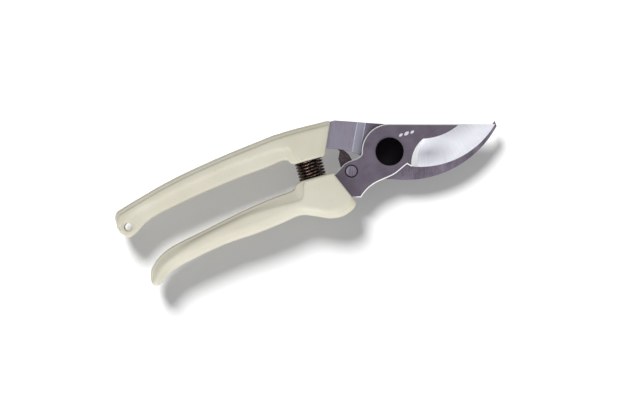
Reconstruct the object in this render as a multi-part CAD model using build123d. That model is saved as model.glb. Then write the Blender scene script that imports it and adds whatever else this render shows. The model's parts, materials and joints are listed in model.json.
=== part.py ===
from build123d import *
import math
import os

# Pruning shears, in millimetres. The model is drawn about the blade pivot: +X runs to the blade tip,
# +Y to the back of the blade and +Z out of the front face. The two blades slide on the plane z = 0.
# At the end everything moves so that the origin is the middle of the underside of the whole tool.

# ---- Driving dimensions ----

# Pivot
BLADE_T = 3.2               # cutting blade plate
HOOK_T = 3.6                # counter blade plate
SLIDE_GAP = 0.03            # half the gap between the two plates
PIVOT_R = 5.0               # bolt shank
PIVOT_CLEARANCE = 0.03      # radial, between the shank and the blade
PIVOT_FLAT = 4.3            # centre to each flat of the shank where it keys into the hook
BOLT_HEAD_R = 7.15
BOLT_RIM_T = 1.0
BOLT_DOME_H = 2.1
THREAD_R = 4.0
WASHER_R = 7.0
WASHER_T = 0.8
NUT_FLATS = 13.0
NUT_T = 2.9
BOLT_END = 0.15             # thread that stands out behind the nut

# Cutting blade
BLADE_REACH = 55.6          # pivot to tip
TIP_Y = -1.0
SHOULDER_R = 14.1           # round back of the blade, about the pivot
EDGE_R = 44.2 * BLADE_REACH / 55.6   # radius of the cutting edge
HEEL = (8.5, -10.1)         # where the cutting edge starts
BEVEL_W = 14.2              # width of the ground bevel
BEVEL_HOLLOW = 0.7          # how far the grinding wheel hollows the bevel
EDGE_T = 0.3                # metal left at the cutting edge
HEEL_GRIND_R = 16.5         # round step where the grind starts
HEEL_GRIND_ANGLE = 49       # slope of that step, from upright
HEEL_GRIND_SHIFT = (-0.15, -3.3)     # centre of that step, from one radius ahead of the heel
BLADE_CHAMFER = 0.5
BLADE_TANG_REACH = 72.0     # pivot to the hidden end of the blade's tang

# Counter blade
BOSS_R = 13.9
BELLY_R = 52.6              # outer edge of the hook
BELLY_ANGLE = -100          # where that edge leaves the boss
HOOK_OVERLAP = 2.3          # how far the cutting edge passes over the hook
HOOK_TIP_PAST = (0.2, 1.6)  # the hook's tip, from the blade's
HOOK_NOSE_PAST = (0.5, -1.2)
THROAT_R = 1.6
JOGGLE_ANGLE = 153.9        # direction, from the pivot, in which the plate steps forward
JOGGLE_START = 14.78        # pivot to the foot of the step
JOGGLE_RUN = 3.76
BEND_R = 1.1
HOOK_TANG_REACH = 74.0
TONGUE_W = 4.6              # both tangs, where they run back inside the grips
KEY_HOLE_R = 1.4            # moulded plastic flows through these holes and locks the tangs

# Grips
UPPER_REACH = 143.6         # pivot to the tail of the upper grip
LOWER_REACH = 134.3
UPPER_SEAT_Y = 6.7
LOWER_SEAT_Y = -2.3
POCKET_WALL = 1.65          # plastic over and under the spring pocket
SEAT_RIM = 1.4              # plastic behind the spring pocket
TANG_SETBACK = 1.8          # from the front of the pocket to where the tangs narrow
POCKET_FLOOR = 0.8          # plastic between the pocket and the tang
TAIL_DROP = 2.9             # how far each side tapers in at the tail
FLAT_REACH = 62.0           # the sides are flat from the front to here
BAND_DEPTH = 1.1            # the inner band of each grip lies this much lower
GRIP_EDGE_R = 3.4
BAND_EDGE_R = 1.4
BLOCK_EDGE_R = 1.0
SKIM = 0.15                 # the bars are lofted this much proud, then cut flat at the full depth
STATION_STEP = 4.5          # greatest distance between two sections of a bar
HANG_HOLE_R = 2.0
HANG_HOLE_SHARE = 0.939     # how far back the hole is, as a share of the grip behind the seats
HANG_HOLE_Y = -1.0
HANG_RELIEF_R = 3.4
HANG_WEB_T = 11.0           # plastic left at the hanging hole, level with the inner band

# Spring
SPRING_X = -41.0
SPRING_R = 7.1              # outside of the coils
WIRE_R = 0.62
SPRING_PITCH = 1.56
POCKET_CLEARANCE = 0.5
POCKET_DEPTH = 8.6
SPRING_END_GAP = 0.05

# Lock
RIVET = (-21.3, -4.3)
RIVET_R = 2.0
RIVET_CLEARANCE = 0.05
RIVET_HEAD_R = 2.7
RIVET_HEAD_T = 1.2
RIVET_RING = 0.5            # open ring round the sunk rivet head
RIVET_PEEN_R = 3.3
RIVET_PEEN_T = 1.1
WAVE_R = 4.2
LEVER_T = 2.0
LEVER_GAP = 0.10            # between the lever and the tang in front of it
LEVER_PLAY = 0.03           # end play of the lever on its rivet
LEVER_BOSS_R = 5.0
TAB_DEPTH = 3.7             # thumb tab, bent back from the lever
TAB_T = 1.5
TAB_X = -25.9               # back face of the thumb tab
TAB_SPAN = (-2.6, 4.0)      # from its lower to its upper end
RIDGE_PITCH = 1.2           # grooves across the thumb tab
RIDGE_DEPTH = 0.35
CATCH = (-18.6, 11.4)
CATCH_R = 1.2
CATCH_SINK = 1.6            # depth of the pin in the tang

# ---- Derived sizes ----

BLADE_BACK = SLIDE_GAP
BLADE_FRONT = BLADE_BACK + BLADE_T
HOOK_FRONT = -SLIDE_GAP
HOOK_BACK = HOOK_FRONT - HOOK_T
GRIP_Z = BLADE_BACK + BLADE_T / 2
TANG_BACK = GRIP_Z - HOOK_T / 2
TANG_FRONT = GRIP_Z + HOOK_T / 2
POCKET_R = SPRING_R + POCKET_CLEARANCE
GRIP_HALF = POCKET_R + POCKET_WALL
POCKET_FRONT = SPRING_X + POCKET_R
SEAT_X = SPRING_X - POCKET_R - SEAT_RIM         # behind here the grips stretch with their reach
UPPER_FRONT = ((-24.7, 23.3), (POCKET_FRONT + 0.9, 6.3))     # slanted front face of the upper grip
LOWER_FRONT = ((POCKET_FRONT + 2.7, LOWER_SEAT_Y), (-23.0, -19.9))
TONGUE_SHOULDER = POCKET_FRONT + TANG_SETBACK
UPPER_TONGUE_Y = UPPER_SEAT_Y + POCKET_DEPTH + POCKET_FLOOR
LOWER_TONGUE_Y = LOWER_SEAT_Y - POCKET_DEPTH - POCKET_FLOOR
NUT_FRONT = HOOK_BACK - WASHER_T
NUT_BACK = NUT_FRONT - NUT_T
LEVER_FRONT = min(TANG_BACK, BLADE_BACK) - LEVER_GAP
LEVER_BACK = LEVER_FRONT - LEVER_T
FAR = 400.0                 # beyond the whole tool


def arc_centre(start, end, radius):
    """Centre of the arc of this radius from start to end that bulges to the right of that way."""
    (x0, y0), (x1, y1) = start, end
    chord = math.hypot(x1 - x0, y1 - y0)
    rise = math.sqrt(radius**2 - chord**2 / 4)
    return (
        (x0 + x1) / 2 - (y1 - y0) / chord * rise,
        (y0 + y1) / 2 + (x1 - x0) / chord * rise,
    )


def on_circle(centre, radius, degrees):
    """Point on a circle, at an angle from +X."""
    angle = math.radians(degrees)
    return (centre[0] + radius * math.cos(angle), centre[1] + radius * math.sin(angle))


def bearing(centre, point):
    """Angle from +X, in degrees, at which the centre sees the point."""
    return math.degrees(math.atan2(point[1] - centre[1], point[0] - centre[0]))


def plate(face, back, front):
    """Prism on a flat outline, from one height to another."""
    return extrude(Pos(0, 0, back) * face, front - back)


def disc(centre, radius, back, front):
    """Round cylinder along Z."""
    return plate(Pos(*centre) * Circle(radius), back, front)


def outline(*edges):
    """Flat face bounded by edges that join end to end, facing forwards."""
    face = Face(Wire.combine(list(edges))[0])
    return face if face.normal_at().Z > 0 else -face


def one(shape):
    """The single solid that a shape holds."""
    solids = shape.solids()
    assert len(solids) == 1, f"expected one solid, found {len(solids)}"
    return solids[0]


BLADE_TIP = (BLADE_REACH, TIP_Y)
EDGE_CENTRE = arc_centre(HEEL, BLADE_TIP, EDGE_R)
INNER_R = EDGE_R - HOOK_OVERLAP
HOOK_TIP = (BLADE_REACH + HOOK_TIP_PAST[0], TIP_Y + HOOK_TIP_PAST[1])
HOOK_NOSE = (BLADE_REACH + HOOK_NOSE_PAST[0], TIP_Y + HOOK_NOSE_PAST[1])
BELLY_START = on_circle((0, 0), BOSS_R, BELLY_ANGLE)


def blade_outline():
    """Outline of the cutting blade with its tang."""
    spine_start = on_circle((0, 0), SHOULDER_R, 74)
    shoulder_end = on_circle((0, 0), SHOULDER_R, 166)
    edge_angles = (bearing(EDGE_CENTRE, HEEL), bearing(EDGE_CENTRE, BLADE_TIP))
    edge_low = on_circle(EDGE_CENTRE, EDGE_R, sum(edge_angles) / 2)
    lean = math.radians(74)
    low = LOWER_TONGUE_Y - TONGUE_W
    return outline(
        TangentArc(spine_start, BLADE_TIP, tangent=(math.sin(lean), -math.cos(lean))),
        ThreePointArc(BLADE_TIP, edge_low, HEEL),
        Line(HEEL, (6.9, -8.5)),
        Spline((6.9, -8.5), (-0.4, -11.6), (-9.7, -13.1), (-15.2, -14.9), (-20.2, -18.4),
               tangents=((-1, -0.35), (-1, -0.9))),
        Line((-20.2, -18.4), (-23.9, -17.5)),
        Line((-23.9, -17.5), (TONGUE_SHOULDER, low)),
        Line((TONGUE_SHOULDER, low), (-BLADE_TANG_REACH, low)),
        Line((-BLADE_TANG_REACH, low), (-BLADE_TANG_REACH, LOWER_TONGUE_Y)),
        Line((-BLADE_TANG_REACH, LOWER_TONGUE_Y), (TONGUE_SHOULDER, LOWER_TONGUE_Y)),
        Line((TONGUE_SHOULDER, LOWER_TONGUE_Y), (TONGUE_SHOULDER, -4.4)),
        Line((TONGUE_SHOULDER, -4.4), (TONGUE_SHOULDER + 2.5, -3.1)),
        Spline((TONGUE_SHOULDER + 2.5, -3.1), (-23.3, 0.3), (-19.0, 1.0), (-15.6, 1.5), shoulder_end,
               tangents=((1, 0.5), (0.25, 1))),
        ThreePointArc(shoulder_end, on_circle((0, 0), SHOULDER_R, 120), spine_start),
    )


def bevel_tool():
    """Metal ground off the front of the blade, from the heel step to the tip."""
    inner = EDGE_R - BEVEL_W
    outer = EDGE_R + 12
    over = BLADE_FRONT + 5
    drop = BLADE_T - EDGE_T
    ground = ThreePointArc(
        (inner, 0, BLADE_FRONT),
        (EDGE_R - BEVEL_W / 2, 0, BLADE_FRONT - drop / 2 - BEVEL_HOLLOW),
        (EDGE_R, 0, BLADE_FRONT - drop),
    )
    corners = ((outer, 0, BLADE_FRONT - drop), (outer, 0, over), (inner, 0, over))
    sides = Polyline(ground @ 1, *corners, ground @ 0)
    ring = Pos(*EDGE_CENTRE) * revolve(Face(Wire([ground, *sides.edges()])), Axis.Z)
    depth = BLADE_T + 10
    lean = math.tan(math.radians(HEEL_GRIND_ANGLE))
    x = HEEL[0] + HEEL_GRIND_R + HEEL_GRIND_SHIFT[0]
    y = HEEL[1] + HEEL_GRIND_SHIFT[1]
    foot_r = HEEL_GRIND_R + (over - BLADE_FRONT - depth) * lean
    heel = Pos(x, y, over - depth / 2) * Cone(foot_r, foot_r + depth * lean, depth)
    beyond = Pos(x + FAR / 2, 0, BLADE_FRONT) * Box(FAR, FAR, 30)
    return ring & (heel + beyond)


def cutting_blade():
    """Ground blade, with its pivot bore, the sunk rivet seat and a tang with key holes."""
    body = plate(blade_outline(), BLADE_BACK, BLADE_FRONT)
    body = chamfer(body.faces().sort_by(Axis.Z)[-1].edges(), BLADE_CHAMFER)
    body -= bevel_tool()
    body -= disc((0, 0), PIVOT_R + PIVOT_CLEARANCE, BLADE_BACK - 1, BLADE_FRONT + 1)
    body -= disc(RIVET, RIVET_R, BLADE_BACK - 1, BLADE_FRONT + 1)
    body -= disc(RIVET, RIVET_HEAD_R + RIVET_RING, BLADE_FRONT - RIVET_HEAD_T, BLADE_FRONT + 1)
    for x in key_hole_stations(BLADE_TANG_REACH):
        body -= disc((x, LOWER_TONGUE_Y - TONGUE_W / 2), KEY_HOLE_R, BLADE_BACK - 1, BLADE_FRONT + 1)
    return one(body)


def key_hole_stations(reach):
    """Places of the two key holes along a tang."""
    return (-reach + 5, -reach + 15)


def hook_outline():
    """Outline of the counter blade seen from the front, tang included."""
    start_angle = bearing(EDGE_CENTRE, HEEL) - 6
    end_angle = bearing(EDGE_CENTRE, HOOK_TIP)
    inner_start = on_circle(EDGE_CENTRE, INNER_R, start_angle)
    inner_mid = on_circle(EDGE_CENTRE, INNER_R, (start_angle + end_angle) / 2 - 1)
    belly_centre = arc_centre(BELLY_START, HOOK_NOSE, BELLY_R)
    belly_angles = (bearing(belly_centre, BELLY_START), bearing(belly_centre, HOOK_NOSE))
    belly_mid = on_circle(belly_centre, BELLY_R, sum(belly_angles) / 2)
    beak = outline(
        ThreePointArc(BELLY_START, belly_mid, HOOK_NOSE),
        Line(HOOK_NOSE, HOOK_TIP),
        ThreePointArc(HOOK_TIP, inner_mid, inner_start),
        Line(inner_start, (0, 0)),
        Line((0, 0), BELLY_START),
    )
    top_start = on_circle((0, 0), BOSS_R, 70.9)
    top = UPPER_TONGUE_Y + TONGUE_W
    tang = outline(
        Line((0, 0), top_start),
        Line(top_start, (-22.6, 22.8)),
        Line((-22.6, 22.8), (-26.4, 22.8)),
        Line((-26.4, 22.8), (TONGUE_SHOULDER, top)),
        Line((TONGUE_SHOULDER, top), (-HOOK_TANG_REACH, top)),
        Line((-HOOK_TANG_REACH, top), (-HOOK_TANG_REACH, UPPER_TONGUE_Y)),
        Line((-HOOK_TANG_REACH, UPPER_TONGUE_Y), (TONGUE_SHOULDER, UPPER_TONGUE_Y)),
        Line((TONGUE_SHOULDER, UPPER_TONGUE_Y), (TONGUE_SHOULDER, 10.8)),
        Line((TONGUE_SHOULDER, 10.8), (TONGUE_SHOULDER + 2.2, 9.8)),
        Spline((TONGUE_SHOULDER + 2.2, 9.8), (-23.9, 7.9), (-18.4, 5.0), (-14.3, 1.7),
               tangents=((1, -0.3), (0.7, -0.8))),
        Line((-14.3, 1.7), on_circle((0, 0), BOSS_R, 182)),
        Line(on_circle((0, 0), BOSS_R, 182), (0, 0)),
    )
    return Circle(BOSS_R) + beak + tang


def joggled_sheet():
    """Endless plate with one step forward, as thick as the counter blade."""
    rise = TANG_BACK - HOOK_BACK
    shift = HOOK_T * math.tan(math.atan2(rise, JOGGLE_RUN) / 2)
    end = JOGGLE_START + JOGGLE_RUN
    front = FilletPolyline(
        (-FAR, HOOK_FRONT), (JOGGLE_START, HOOK_FRONT), (end, TANG_FRONT), (FAR, TANG_FRONT), radius=BEND_R
    )
    back = FilletPolyline(
        (FAR, TANG_BACK), (end + shift, TANG_BACK), (JOGGLE_START + shift, HOOK_BACK), (-FAR, HOOK_BACK),
        radius=BEND_R,
    )
    far_side = Line((FAR, TANG_FRONT), (FAR, TANG_BACK))
    near_side = Line((-FAR, HOOK_BACK), (-FAR, HOOK_FRONT))
    face = outline(*front.edges(), far_side, *back.edges(), near_side)
    upright = Plane(origin=(0, 0, 0), x_dir=(1, 0, 0), z_dir=(0, -1, 0))
    return Rot(0, 0, JOGGLE_ANGLE) * extrude(upright * face, FAR, both=True)


def keyed_shank(back, front):
    """Round shank with two flats, which stops the bolt from turning in the hook."""
    return disc((0, 0), PIVOT_R, back, front) & plate(Rectangle(FAR, 2 * PIVOT_FLAT), back, front)


def counter_blade():
    """Hooked counter blade whose tang steps forward to lie level with the cutting blade."""
    outline_face = hook_outline()
    throat = outline_face.vertices().sort_by(lambda v: abs(v.X - 10.5) + abs(v.Y + 8.0))[0]
    outline_face = fillet(throat, THROAT_R)
    body = plate(outline_face, -20, 20) & joggled_sheet()
    body -= keyed_shank(-20, 20)
    body -= disc(CATCH, CATCH_R, TANG_BACK - 1, TANG_BACK + CATCH_SINK)
    for x in key_hole_stations(HOOK_TANG_REACH):
        body -= disc((x, UPPER_TONGUE_Y + TONGUE_W / 2), KEY_HOLE_R, -20, 20)
    return one(body)


def place(reach, at):
    """X of a station: a share of the grip behind the spring seats, or a fixed place in front of them."""
    return at if at < 0 else SEAT_X - at * (reach + SEAT_X)


def half_depth(x, lower_by):
    """Half the depth of a grip at X: constant at the front, then drawn in towards the tail."""
    drawn = max(0, (-x - FLAT_REACH) / (UPPER_REACH - FLAT_REACH))
    return GRIP_HALF - lower_by - TAIL_DROP * drawn**2


def smooth(rows):
    """Rows of numbers with more rows between them, on smooth curves through each column."""
    slopes = []
    for index in range(len(rows)):
        before = rows[max(index - 1, 0)]
        after = rows[min(index + 1, len(rows) - 1)]
        slopes.append([(b - a) / (after[0] - before[0]) for a, b in zip(before, after)])
    dense = []
    for start, end, leave, arrive in zip(rows, rows[1:], slopes, slopes[1:]):
        run = end[0] - start[0]
        count = math.ceil(abs(run) / STATION_STEP)
        for step in range(count):
            t = step / count
            blend = 3 * t**2 - 2 * t**3
            rise_out = (t**3 - 2 * t**2 + t) * run
            rise_in = (t**3 - t**2) * run
            columns = zip(start, end, leave, arrive)
            dense.append([a + (b - a) * blend + u * rise_out + v * rise_in for a, b, u, v in columns])
    return dense + [list(rows[-1])]


def bar(sections, lower_by, radius):
    """Bar through rounded sections (x, low y, high y) that stand across X."""
    faces = []
    for x, low, high in sections:
        depth = 2 * (half_depth(x, lower_by) + SKIM)
        corner = min(radius, 0.45 * (high - low), 0.45 * depth)
        stand = Plane(origin=(x, (low + high) / 2, GRIP_Z), x_dir=(0, 1, 0), z_dir=(-1, 0, 0))
        faces.append(stand * RectangleRounded(high - low, depth, corner))
    return loft(faces, ruled=True) & Pos(0, 0, GRIP_Z) * Box(2 * FAR, 2 * FAR, 2 * (GRIP_HALF - lower_by))


def grip_block(points, lower_by, radius):
    """Flat-sided block round the spring seat, joined to the bar of its grip."""
    half = GRIP_HALF - lower_by
    block = plate(outline(*Polyline(*points, close=True).edges()), GRIP_Z - half, GRIP_Z + half)
    rims = block.faces().sort_by(Axis.Z)
    return fillet(rims[0].edges() + rims[-1].edges(), radius)


def ahead_of(line):
    """Everything in front of a slanted front face, to be cut away."""
    top, bottom = line
    turn = bearing(bottom, top)
    middle = ((top[0] + bottom[0]) / 2, (top[1] + bottom[1]) / 2)
    return Pos(*middle, GRIP_Z) * Rot(0, 0, turn) * Pos(0, -FAR / 2, 0) * Box(FAR, FAR, FAR)


def spring_pocket(seat_y, direction):
    """Blind round pocket that holds one end of the spring."""
    plane = Plane(origin=(SPRING_X, seat_y, GRIP_Z), z_dir=(0, direction, 0))
    return extrude(plane * Circle(POCKET_R), POCKET_DEPTH) + extrude(plane * Circle(POCKET_R), -6)


def upper_grip(hook):
    """Upper grip: thick back, lower inner band, spring pocket and hanging hole, moulded on its tang."""
    # place, inner edge, edge of the band, back
    rows = (
        (-22.0, 10.2, 14.0, 23.0), (-40.0, 10.3, 15.0, 24.2), (0.128, 8.9, 15.4, 23.0),
        (0.363, 7.2, 13.6, 20.6), (0.598, 4.0, 10.0, 16.9), (0.769, 1.0, 6.5, 13.3),
        (0.881, -3.6, 4.6, 10.6), (0.940, -5.8, 1.6, 9.0), (0.983, -3.3, -0.2, 7.2),
        (1.0, -0.4, -0.2, 4.4),
    )
    spots = smooth([(place(UPPER_REACH, at), inner, band, back) for at, inner, band, back in rows])
    low_spots = [(x, inner, (band + back) / 2) for x, inner, band, back in spots[:-1]]
    body = bar(low_spots, BAND_DEPTH, BAND_EDGE_R)
    body += bar([(x, band, back) for x, inner, band, back in spots], 0, GRIP_EDGE_R)
    rear = SEAT_X + 4
    block = [(-22, UPPER_SEAT_Y), (-22, 18), (rear + 1.5, 18), (rear, 13), (rear, UPPER_SEAT_Y)]
    ledge_foot = (SEAT_X + 0.4, UPPER_SEAT_Y)
    ledge = [(-40, UPPER_SEAT_Y), (-40, 12), (SEAT_X - 2, 12), (SEAT_X - 0.3, 9.4), ledge_foot]
    body += grip_block(block, 0, BLOCK_EDGE_R)
    body += grip_block(ledge, BAND_DEPTH, BLOCK_EDGE_R / 2)
    body -= ahead_of(UPPER_FRONT)
    body -= spring_pocket(UPPER_SEAT_Y, 1)
    hole = (place(UPPER_REACH, HANG_HOLE_SHARE), HANG_HOLE_Y)
    body -= disc(hole, HANG_HOLE_R, -FAR, FAR)
    for side in (-1, 1):
        body -= Pos(*hole, GRIP_Z + side * (HANG_WEB_T / 2 + 10)) * Cylinder(HANG_RELIEF_R, 20)
    return one(body - hook)


def lower_grip(blade):
    """Lower grip: swollen front, hooked tail, lower inner band and spring pocket, moulded on its tang."""
    # place, outer edge, edge of the band, inner edge
    rows = (
        (-22.9, -22.6, -20.0, -19.0), (-26.0, -24.4, -16.0, -12.5), (-31.0, -25.3, -11.3, -6.2),
        (-40.0, -23.7, -11.2, -6.2), (0.012, -19.5, -11.0, -6.2), (0.154, -20.5, -10.9, -6.7),
        (0.332, -21.7, -11.6, -8.6), (0.498, -22.7, -13.6, -11.2), (0.664, -24.6, -16.3, -14.0),
        (0.795, -27.0, -19.6, -16.1), (0.902, -30.7, -23.6, -19.3), (0.961, -33.8, -29.3, -23.2),
        (1.0, -33.0, -31.5, -28.6),
    )
    spots = smooth([(place(LOWER_REACH, at), outer, band, inner) for at, outer, band, inner in rows])
    low_spots = [(x, (outer + band) / 2, inner) for x, outer, band, inner in spots]
    body = bar(low_spots, BAND_DEPTH, BAND_EDGE_R)
    body += bar([(x, outer, band) for x, outer, band, inner in spots[:-1]], 0, GRIP_EDGE_R)
    rear = SEAT_X + 4
    block = [(-22, LOWER_SEAT_Y), (rear, LOWER_SEAT_Y), (rear, -9), (rear + 3, -16), (-22, -19)]
    ledge_foot = (SEAT_X + 0.2, LOWER_SEAT_Y)
    ledge = [(-40, LOWER_SEAT_Y), ledge_foot, (SEAT_X - 0.4, -4.6), (SEAT_X - 3, -8), (-40, -8)]
    body += grip_block(block, 0, BLOCK_EDGE_R)
    body += grip_block(ledge, BAND_DEPTH, BLOCK_EDGE_R / 2)
    body -= ahead_of(LOWER_FRONT)
    body -= spring_pocket(LOWER_SEAT_Y, -1)
    return one(body - blade)


def return_spring():
    """Coil spring pressed between the two pockets."""
    low = LOWER_SEAT_Y - POCKET_DEPTH + WIRE_R + SPRING_END_GAP
    high = UPPER_SEAT_Y + POCKET_DEPTH - WIRE_R - SPRING_END_GAP
    radius = SPRING_R - WIRE_R
    turns = round((high - low) / SPRING_PITCH)
    path = Helix((high - low) / turns, high - low, radius)
    start = Plane(origin=path @ 0, z_dir=path % 0)
    wire = sweep(start * Circle(WIRE_R), path=path, is_frenet=True)
    return one(Pos(SPRING_X, low, GRIP_Z) * Rot(-90, 0, 0) * wire)


def pivot_bolt():
    """Bolt with a low black dome, a round shank for the blade, flats for the hook and a threaded end."""
    under = BLADE_FRONT + SLIDE_GAP
    rim = disc((0, 0), BOLT_HEAD_R, under, under + BOLT_RIM_T)
    ball_r = (BOLT_HEAD_R**2 + BOLT_DOME_H**2) / (2 * BOLT_DOME_H)
    top = under + BOLT_RIM_T + BOLT_DOME_H
    dome = Pos(0, 0, top - ball_r) * Sphere(ball_r) & disc((0, 0), BOLT_HEAD_R, under + BOLT_RIM_T, top + 1)
    shank = disc((0, 0), PIVOT_R, HOOK_FRONT, under) + keyed_shank(HOOK_BACK, HOOK_FRONT)
    return one(rim + dome + shank + disc((0, 0), THREAD_R, NUT_BACK - BOLT_END, HOOK_BACK))


def pivot_washer():
    """Washer between the hook and the nut."""
    return one(disc((0, 0), WASHER_R, NUT_FRONT, HOOK_BACK) - disc((0, 0), THREAD_R, NUT_FRONT, HOOK_BACK))


def pivot_nut():
    """Thin hexagon nut with its outer corners turned down."""
    hexagon = plate(RegularPolygon(NUT_FLATS / 2, 6, major_radius=False), NUT_BACK, NUT_FRONT)
    turned = disc((0, 0), NUT_FLATS / math.sqrt(3), NUT_BACK, NUT_FRONT)
    turned = chamfer(turned.faces().sort_by(Axis.Z)[0].edges(), 0.6)
    return one((hexagon & turned) - disc((0, 0), THREAD_R, NUT_BACK, NUT_FRONT))


def lock_rivet():
    """Rivet with a head sunk in the blade and a peened head behind the lever."""
    peen = LEVER_BACK - LEVER_PLAY
    body = disc(RIVET, RIVET_HEAD_R, BLADE_FRONT - RIVET_HEAD_T, BLADE_FRONT)
    body += disc(RIVET, RIVET_R, peen, BLADE_FRONT - RIVET_HEAD_T)
    head = disc(RIVET, RIVET_PEEN_R, peen - RIVET_PEEN_T, peen)
    return one(body + chamfer(head.faces().sort_by(Axis.Z)[0].edges(), 0.4))


def lock_wave_washer():
    """Thin spring washer that steadies the lever."""
    back, front = LEVER_FRONT + LEVER_PLAY, BLADE_BACK
    return one(disc(RIVET, WAVE_R, back, front) - disc(RIVET, RIVET_R, back, front))


def lock_lever():
    """Lock lever: boss on the rivet, arm behind the tang, claw for the catch and ridged thumb tab."""
    claw = FilletPolyline(
        (-26.0, -6.0), (-25.6, 4.2), (-24.2, 7.2), (-26.6, 10.2), (-26.6, 14.6), (-25.0, 16.6),
        (-19.3, 16.6), (-19.3, 13.2), (-22.9, 13.2), (-22.9, 10.4), (-22.2, 7.2), (-20.2, 4.3),
        (-19.5, 1.4), (-17.2, -4.0),
        radius=0.5, close=True,
    )
    arm = outline(*claw.edges())
    body = plate(arm, LEVER_BACK, LEVER_FRONT) + disc(RIVET, LEVER_BOSS_R, LEVER_BACK, LEVER_FRONT)
    tab_low, tab_high = TAB_SPAN
    tab = Box(TAB_T, tab_high - tab_low, TAB_DEPTH, align=(Align.MIN, Align.MIN, Align.MAX))
    body += Pos(TAB_X, tab_low, LEVER_BACK) * tab
    groove = tab_low + RIDGE_PITCH
    while groove < tab_high:
        body -= Pos(TAB_X, groove, LEVER_BACK - TAB_DEPTH) * Rot(0, 0, 45) * Box(
            RIDGE_DEPTH * 1.4, RIDGE_DEPTH * 1.4, 2 * (TAB_DEPTH - 0.6)
        )
        groove += RIDGE_PITCH
    return one(body - disc(RIVET, RIVET_R + RIVET_CLEARANCE, LEVER_BACK, LEVER_FRONT))


def catch_pin():
    """Pin pressed into the back of the tang, which the lever's claw holds."""
    return one(disc(CATCH, CATCH_R, LEVER_BACK - 0.2, TANG_BACK + CATCH_SINK))


def build():
    """All pieces, by name, about the pivot."""
    hook = counter_blade()
    blade = cutting_blade()
    return {
        "counter_blade": hook,
        "cutting_blade": blade,
        "upper_grip": upper_grip(hook),
        "lower_grip": lower_grip(blade),
        "return_spring": return_spring(),
        "pivot_bolt": pivot_bolt(),
        "pivot_washer": pivot_washer(),
        "pivot_nut": pivot_nut(),
        "lock_lever": lock_lever(),
        "lock_rivet": lock_rivet(),
        "lock_wave_washer": lock_wave_washer(),
        "catch_pin": catch_pin(),
    }


if __name__ == "__main__":
    os.makedirs("parts", exist_ok=True)
    pieces = build()
    box = Compound(list(pieces.values())).bounding_box()
    pivot = Vector(-(box.min.X + box.max.X) / 2, -(box.min.Y + box.max.Y) / 2, -box.min.Z)
    print(f"pivot at {pivot.X:.4f} {pivot.Y:.4f} {pivot.Z:.4f}")
    for name, piece in pieces.items():
        export_step(piece.moved(Location(pivot)), f"parts/{name}.step")
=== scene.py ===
"""Looks of a pair of bypass pruning shears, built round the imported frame.

Sizes are in millimetres about the blade pivot and become metres in the frame when a mesh is placed.
"""
import json
import logging
import math
from dataclasses import dataclass, field
from enum import Enum

import bmesh
import bpy
from mathutils import Matrix, Vector


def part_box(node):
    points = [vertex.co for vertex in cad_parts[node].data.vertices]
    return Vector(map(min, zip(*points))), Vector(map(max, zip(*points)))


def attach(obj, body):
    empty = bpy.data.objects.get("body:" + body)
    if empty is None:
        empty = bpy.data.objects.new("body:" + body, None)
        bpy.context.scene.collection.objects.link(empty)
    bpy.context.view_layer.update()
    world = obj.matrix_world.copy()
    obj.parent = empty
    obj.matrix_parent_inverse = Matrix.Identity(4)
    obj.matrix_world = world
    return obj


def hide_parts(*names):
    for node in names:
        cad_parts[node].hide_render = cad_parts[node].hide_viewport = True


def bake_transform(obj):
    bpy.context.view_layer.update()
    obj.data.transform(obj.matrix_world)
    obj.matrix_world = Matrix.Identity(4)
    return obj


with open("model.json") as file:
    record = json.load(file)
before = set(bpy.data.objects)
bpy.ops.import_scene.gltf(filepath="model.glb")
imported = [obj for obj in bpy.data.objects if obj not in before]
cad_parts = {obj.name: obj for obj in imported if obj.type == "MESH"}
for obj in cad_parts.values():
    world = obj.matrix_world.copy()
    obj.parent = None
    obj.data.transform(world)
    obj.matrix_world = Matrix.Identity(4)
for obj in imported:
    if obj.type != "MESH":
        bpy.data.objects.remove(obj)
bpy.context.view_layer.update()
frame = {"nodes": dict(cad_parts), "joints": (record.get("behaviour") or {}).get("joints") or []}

log = logging.getLogger("shears")

MM = 0.001
HOOK_SIDE = "hook_side"
BLADE_SIDE = "blade_side"
VIEW_TURN = 15.7            # how far the shears lie turned from level, in degrees

# Ranges of a noise pattern and of a surface's tilt, between which a finish changes
MIDDLE = (0.35, 0.65)
FLAT_TILT = (0.993, 0.996)
BEVEL_TILT = (0.900, 0.925)
METAL_TILT = (0.90, 0.95)
SIDE_TILT = (0.35, 0.40)
UNDER_TILT = (-0.6, -0.5)

Colour = tuple[float, float, float]
Socket = bpy.types.NodeSocket
Verts = list[bmesh.types.BMVert]
Profile = list[tuple[float, float]]


class Along(Enum):
    """Direction in which the marks of a grinding belt run."""

    ACROSS_EDGE = "across the cutting edge"
    ALONG_BLADE = "along the blade"


class Face(Enum):
    """Inner or outer edge of a grip's cross-section."""

    INNER = "towards the other grip"
    BACK = "towards the palm"


def srgb(red: int, green: int, blue: int) -> Colour:
    """Turns an 8-bit display colour into the linear colour that shaders take.

    Args:
        red: Red, from 0 to 255.
        green: Green, from 0 to 255.
        blue: Blue, from 0 to 255.

    Returns:
        The linear colour.
    """
    shares = (value / 255 for value in (red, green, blue))
    return tuple(s / 12.92 if s <= 0.04045 else ((s + 0.055) / 1.055) ** 2.4 for s in shares)


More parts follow.
